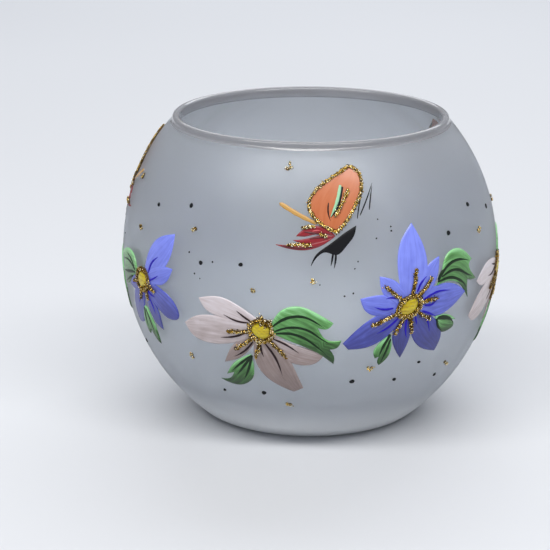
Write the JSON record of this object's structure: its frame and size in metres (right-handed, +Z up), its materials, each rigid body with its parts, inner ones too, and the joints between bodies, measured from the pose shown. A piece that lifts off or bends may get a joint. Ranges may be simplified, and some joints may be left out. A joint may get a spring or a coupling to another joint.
{
  "type": "frosted glass candle bowl",
  "caption": "Round frosted glass bubble bowl with an open collared mouth and a flat base, hand-painted with flowers and butterflies; holds a tealight or small flowers.",
  "frame": {"origin": "centre of the base, on the plane the bowl stands on", "axes": "+Z up through the middle of the mouth; -Y faces the front, between a white and a blue flower"},
  "size_m": [0.1008, 0.1007, 0.0805],
  "materials": {
    "frosted_glass": "acid-etched satin outside, clear gloss inside",
    "blue_enamel": "brushed glass enamel, periwinkle to violet blue",
    "white_enamel": "brushed glass enamel, pinkish white",
    "green_enamel": "brushed glass enamel, leaf green",
    "yellow_enamel": "thick dab of glossy enamel",
    "gold_glitter": "gold glitter flakes in clear glue",
    "black_enamel": "glossy black enamel",
    "orange_enamel": "brushed glass enamel, orange",
    "red_enamel": "brushed glass enamel, deep red",
    "mint_enamel": "single brush stroke, mint green",
    "ochre_enamel": "single thin brush stroke, ochre"
  },
  "bodies": {
    "root": {"glass_bowl": "frosted_glass", "black_dots": "black_enamel", "blue_flower_1_centre": "yellow_enamel", "blue_flower_1_glitter": "gold_glitter", "blue_flower_1_leaves": "green_enamel", "blue_flower_1_petals": "blue_enamel", "blue_flower_3_centre": "yellow_enamel", "blue_flower_3_glitter": "gold_glitter", "blue_flower_3_leaves": "green_enamel", "blue_flower_3_petals": "blue_enamel", "blue_flower_5_centre": "yellow_enamel", "blue_flower_5_glitter": "gold_glitter", "blue_flower_5_leaves": "green_enamel", "blue_flower_5_petals": "blue_enamel", "blue_flower_7_centre": "yellow_enamel", "blue_flower_7_glitter": "gold_glitter", "blue_flower_7_leaves": "green_enamel", "blue_flower_7_petals": "blue_enamel", "butterfly_1_body": "black_enamel", "butterfly_1_glitter": "gold_glitter", "butterfly_1_lower_wing": "red_enamel", "butterfly_1_mint_stroke": "mint_enamel", "butterfly_1_ochre_stroke": "ochre_enamel", "butterfly_1_upper_wing": "orange_enamel", "butterfly_2_body": "black_enamel", "butterfly_2_glitter": "gold_glitter", "butterfly_2_lower_wing": "red_enamel", "butterfly_2_mint_stroke": "mint_enamel", "butterfly_2_ochre_stroke": "ochre_enamel", "butterfly_2_upper_wing": "orange_enamel", "butterfly_3_body": "black_enamel", "butterfly_3_glitter": "gold_glitter", "butterfly_3_lower_wing": "red_enamel", "butterfly_3_mint_stroke": "mint_enamel", "butterfly_3_ochre_stroke": "ochre_enamel", "butterfly_3_upper_wing": "orange_enamel", "glitter_dots": "gold_glitter", "white_flower_2_centre": "yellow_enamel", "white_flower_2_glitter": "gold_glitter", "white_flower_2_leaves": "green_enamel", "white_flower_2_petals": "white_enamel", "white_flower_4_centre": "yellow_enamel", "white_flower_4_glitter": "gold_glitter", "white_flower_4_leaves": "green_enamel", "white_flower_4_petals": "white_enamel", "white_flower_6_centre": "yellow_enamel", "white_flower_6_glitter": "gold_glitter", "white_flower_6_leaves": "green_enamel", "white_flower_6_petals": "white_enamel", "white_flower_8_centre": "yellow_enamel", "white_flower_8_glitter": "gold_glitter", "white_flower_8_leaves": "green_enamel", "white_flower_8_petals": "white_enamel"}
  },
  "joints": []
}
